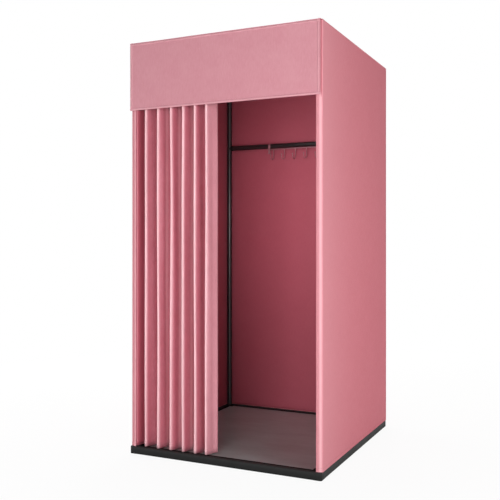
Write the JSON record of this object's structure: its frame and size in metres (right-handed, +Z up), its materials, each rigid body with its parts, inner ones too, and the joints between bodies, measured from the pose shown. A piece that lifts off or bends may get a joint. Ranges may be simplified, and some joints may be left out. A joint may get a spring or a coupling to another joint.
{
  "type": "portable fitting room",
  "caption": "Free-standing square fitting room: tube frame on a low base, cloth covers and valance, pleated sliding curtain, rear hanging rail with a sliding hook rack.",
  "frame": {"origin": "on the ground, at the middle of the square footprint", "axes": "+Z up, +Y to the back, -Y through the doorway, +X to the right seen from in front"},
  "size_m": [1, 1, 2],
  "materials": {
    "coated_steel": "satin black powder coat",
    "moulded_plastic": "fine-grained black moulding",
    "foot_rubber": "matt black rubber",
    "floor_board": "grey vinyl-faced board, lightly glossy",
    "track_aluminium": "anodised aluminium",
    "glider_nylon": "white nylon",
    "rose_metal": "rose-coloured plated steel wire and strip",
    "cover_cloth": "matt pink woven cover cloth",
    "curtain_cloth": "soft pink velvet-like curtain cloth"
  },
  "bodies": {
    "booth": {"base_corner_front_left": "moulded_plastic", "foot_pad_front_left": "foot_rubber", "base_corner_front_right": "moulded_plastic", "foot_pad_front_right": "foot_rubber", "base_corner_rear_left": "moulded_plastic", "foot_pad_rear_left": "foot_rubber", "base_corner_rear_right": "moulded_plastic", "foot_pad_rear_right": "foot_rubber", "base_beam_front": "coated_steel", "base_beam_rear": "coated_steel", "base_beam_left": "coated_steel", "base_beam_right": "coated_steel", "floor_board": "floor_board", "floor_crossbar_left": "coated_steel", "floor_crossbar_right": "coated_steel", "post_front_left": "coated_steel", "top_connector_front_left": "moulded_plastic", "post_front_right": "coated_steel", "top_connector_front_right": "moulded_plastic", "post_rear_left": "coated_steel", "top_connector_rear_left": "moulded_plastic", "post_rear_right": "coated_steel", "top_connector_rear_right": "moulded_plastic", "top_rail_front": "coated_steel", "top_rail_rear": "coated_steel", "top_rail_left": "coated_steel", "top_rail_right": "coated_steel", "hanging_rail": "coated_steel", "rail_saddle_left": "moulded_plastic", "rail_saddle_right": "moulded_plastic", "curtain_track": "track_aluminium", "track_bracket_left": "moulded_plastic", "track_bracket_middle": "moulded_plastic", "track_bracket_right": "moulded_plastic", "track_stop_left": "moulded_plastic", "track_stop_right": "moulded_plastic", "curtain": "curtain_cloth", "side_cover_left": "cover_cloth", "side_cover_right": "cover_cloth", "rear_cover": "cover_cloth", "roof_cover": "cover_cloth", "valance": "cover_cloth"},
    "lead_carrier": {"lead_glider": "glider_nylon"},
    "curtain_glider_1_carrier": {"curtain_glider_1": "glider_nylon"},
    "curtain_glider_2_carrier": {"curtain_glider_2": "glider_nylon"},
    "curtain_glider_3_carrier": {"curtain_glider_3": "glider_nylon"},
    "curtain_glider_4_carrier": {"curtain_glider_4": "glider_nylon"},
    "curtain_glider_5_carrier": {"curtain_glider_5": "glider_nylon"},
    "hook_rack": {"hook_rack_frame": "rose_metal", "rack_hook_1": "rose_metal", "rack_hook_2": "rose_metal", "rack_hook_3": "rose_metal", "rack_hook_4": "rose_metal", "rack_hook_5": "rose_metal", "rack_hook_6": "rose_metal"}
  },
  "joints": [
    {"name": "curtain_slide", "type": "slide", "parent": "booth", "child": "lead_carrier", "axis": [1, 0, 0], "range_m": [-0.23, 0.518], "deforming": ["curtain"]},
    {"name": "curtain_glider_1_slide", "type": "slide", "parent": "booth", "child": "curtain_glider_1_carrier", "axis": [1, 0, 0], "range_m": [-0.0188, 0.0417]},
    {"name": "curtain_glider_2_slide", "type": "slide", "parent": "booth", "child": "curtain_glider_2_carrier", "axis": [1, 0, 0], "range_m": [-0.0647, 0.1451]},
    {"name": "curtain_glider_3_slide", "type": "slide", "parent": "booth", "child": "curtain_glider_3_carrier", "axis": [1, 0, 0], "range_m": [-0.1246, 0.28]},
    {"name": "curtain_glider_4_slide", "type": "slide", "parent": "booth", "child": "curtain_glider_4_carrier", "axis": [1, 0, 0], "range_m": [-0.1807, 0.4064]},
    {"name": "curtain_glider_5_slide", "type": "slide", "parent": "booth", "child": "curtain_glider_5_carrier", "axis": [1, 0, 0], "range_m": [-0.2182, 0.4907]},
    {"name": "hook_rack_slide", "type": "slide", "parent": "booth", "child": "hook_rack", "axis": [1, 0, 0], "range_m": [-0.25, 0.25]}
  ],
  "couplings": [
    {"joint": "curtain_glider_1_slide", "follows": "curtain_slide", "ratio": 0.0796},
    {"joint": "curtain_glider_2_slide", "follows": "curtain_slide", "ratio": 0.2792},
    {"joint": "curtain_glider_3_slide", "follows": "curtain_slide", "ratio": 0.5395},
    {"joint": "curtain_glider_4_slide", "follows": "curtain_slide", "ratio": 0.7835},
    {"joint": "curtain_glider_5_slide", "follows": "curtain_slide", "ratio": 0.9464}
  ]
}
